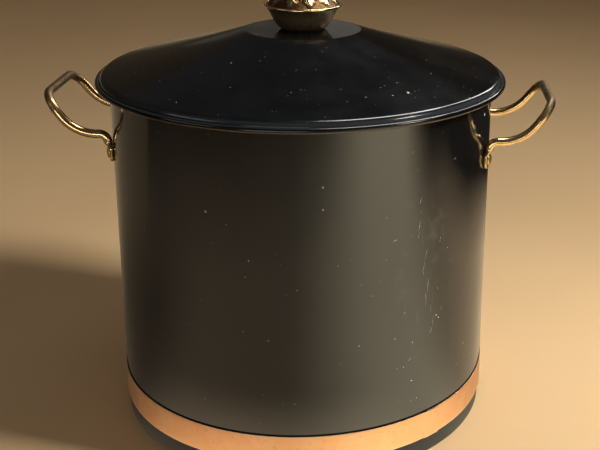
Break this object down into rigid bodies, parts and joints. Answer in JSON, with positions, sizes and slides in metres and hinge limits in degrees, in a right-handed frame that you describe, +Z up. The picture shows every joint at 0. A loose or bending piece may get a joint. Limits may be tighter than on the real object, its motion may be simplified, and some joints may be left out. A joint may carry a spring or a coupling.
{
  "type": "coal scuttle",
  "caption": "Round lidded coal tub for the hearth: straight enamelled steel wall, copper band near the foot, two brass rod handles, and a conical lift-off lid with a bowl-shaped brass knob.",
  "frame": {"origin": "middle of the foot's standing edge, on the floor", "axes": "+Z up along the tub's axis, +X towards the right handle as seen in the picture, -Y towards the viewer"},
  "size_m": [0.4364, 0.3536, 0.3812],
  "materials": {
    "tub_enamel": "satin black enamel",
    "lid_enamel": "gloss blue-black enamel",
    "band_copper": "copper, polished and lightly tarnished",
    "handle_brass": "polished, tarnished at the grip",
    "knob_brass_dark": "antique dark patina",
    "knob_brass_bright": "polished relief",
    "wire_steel": "plain drawn steel"
  },
  "bodies": {
    "bucket": {"body_shell": "tub_enamel", "top_wire": "wire_steel", "foot_ring": "tub_enamel", "base_pan": "tub_enamel", "copper_band": "band_copper", "handle_left": "handle_brass", "handle_right": "handle_brass", "handle_rivets": "handle_brass", "rivet_washers": "wire_steel"},
    "lid": {"lid_shell": "lid_enamel", "lid_wire": "wire_steel", "knob_bowl": "knob_brass_dark", "knob_crown": "knob_brass_bright", "knob_screw": "handle_brass", "knob_washer": "wire_steel", "knob_nut": "wire_steel"}
  },
  "joints": [
    {"name": "lid_lift", "type": "slide", "parent": "bucket", "child": "lid", "axis": [0, 0, 1], "range_m": [0, 0.15]}
  ]
}
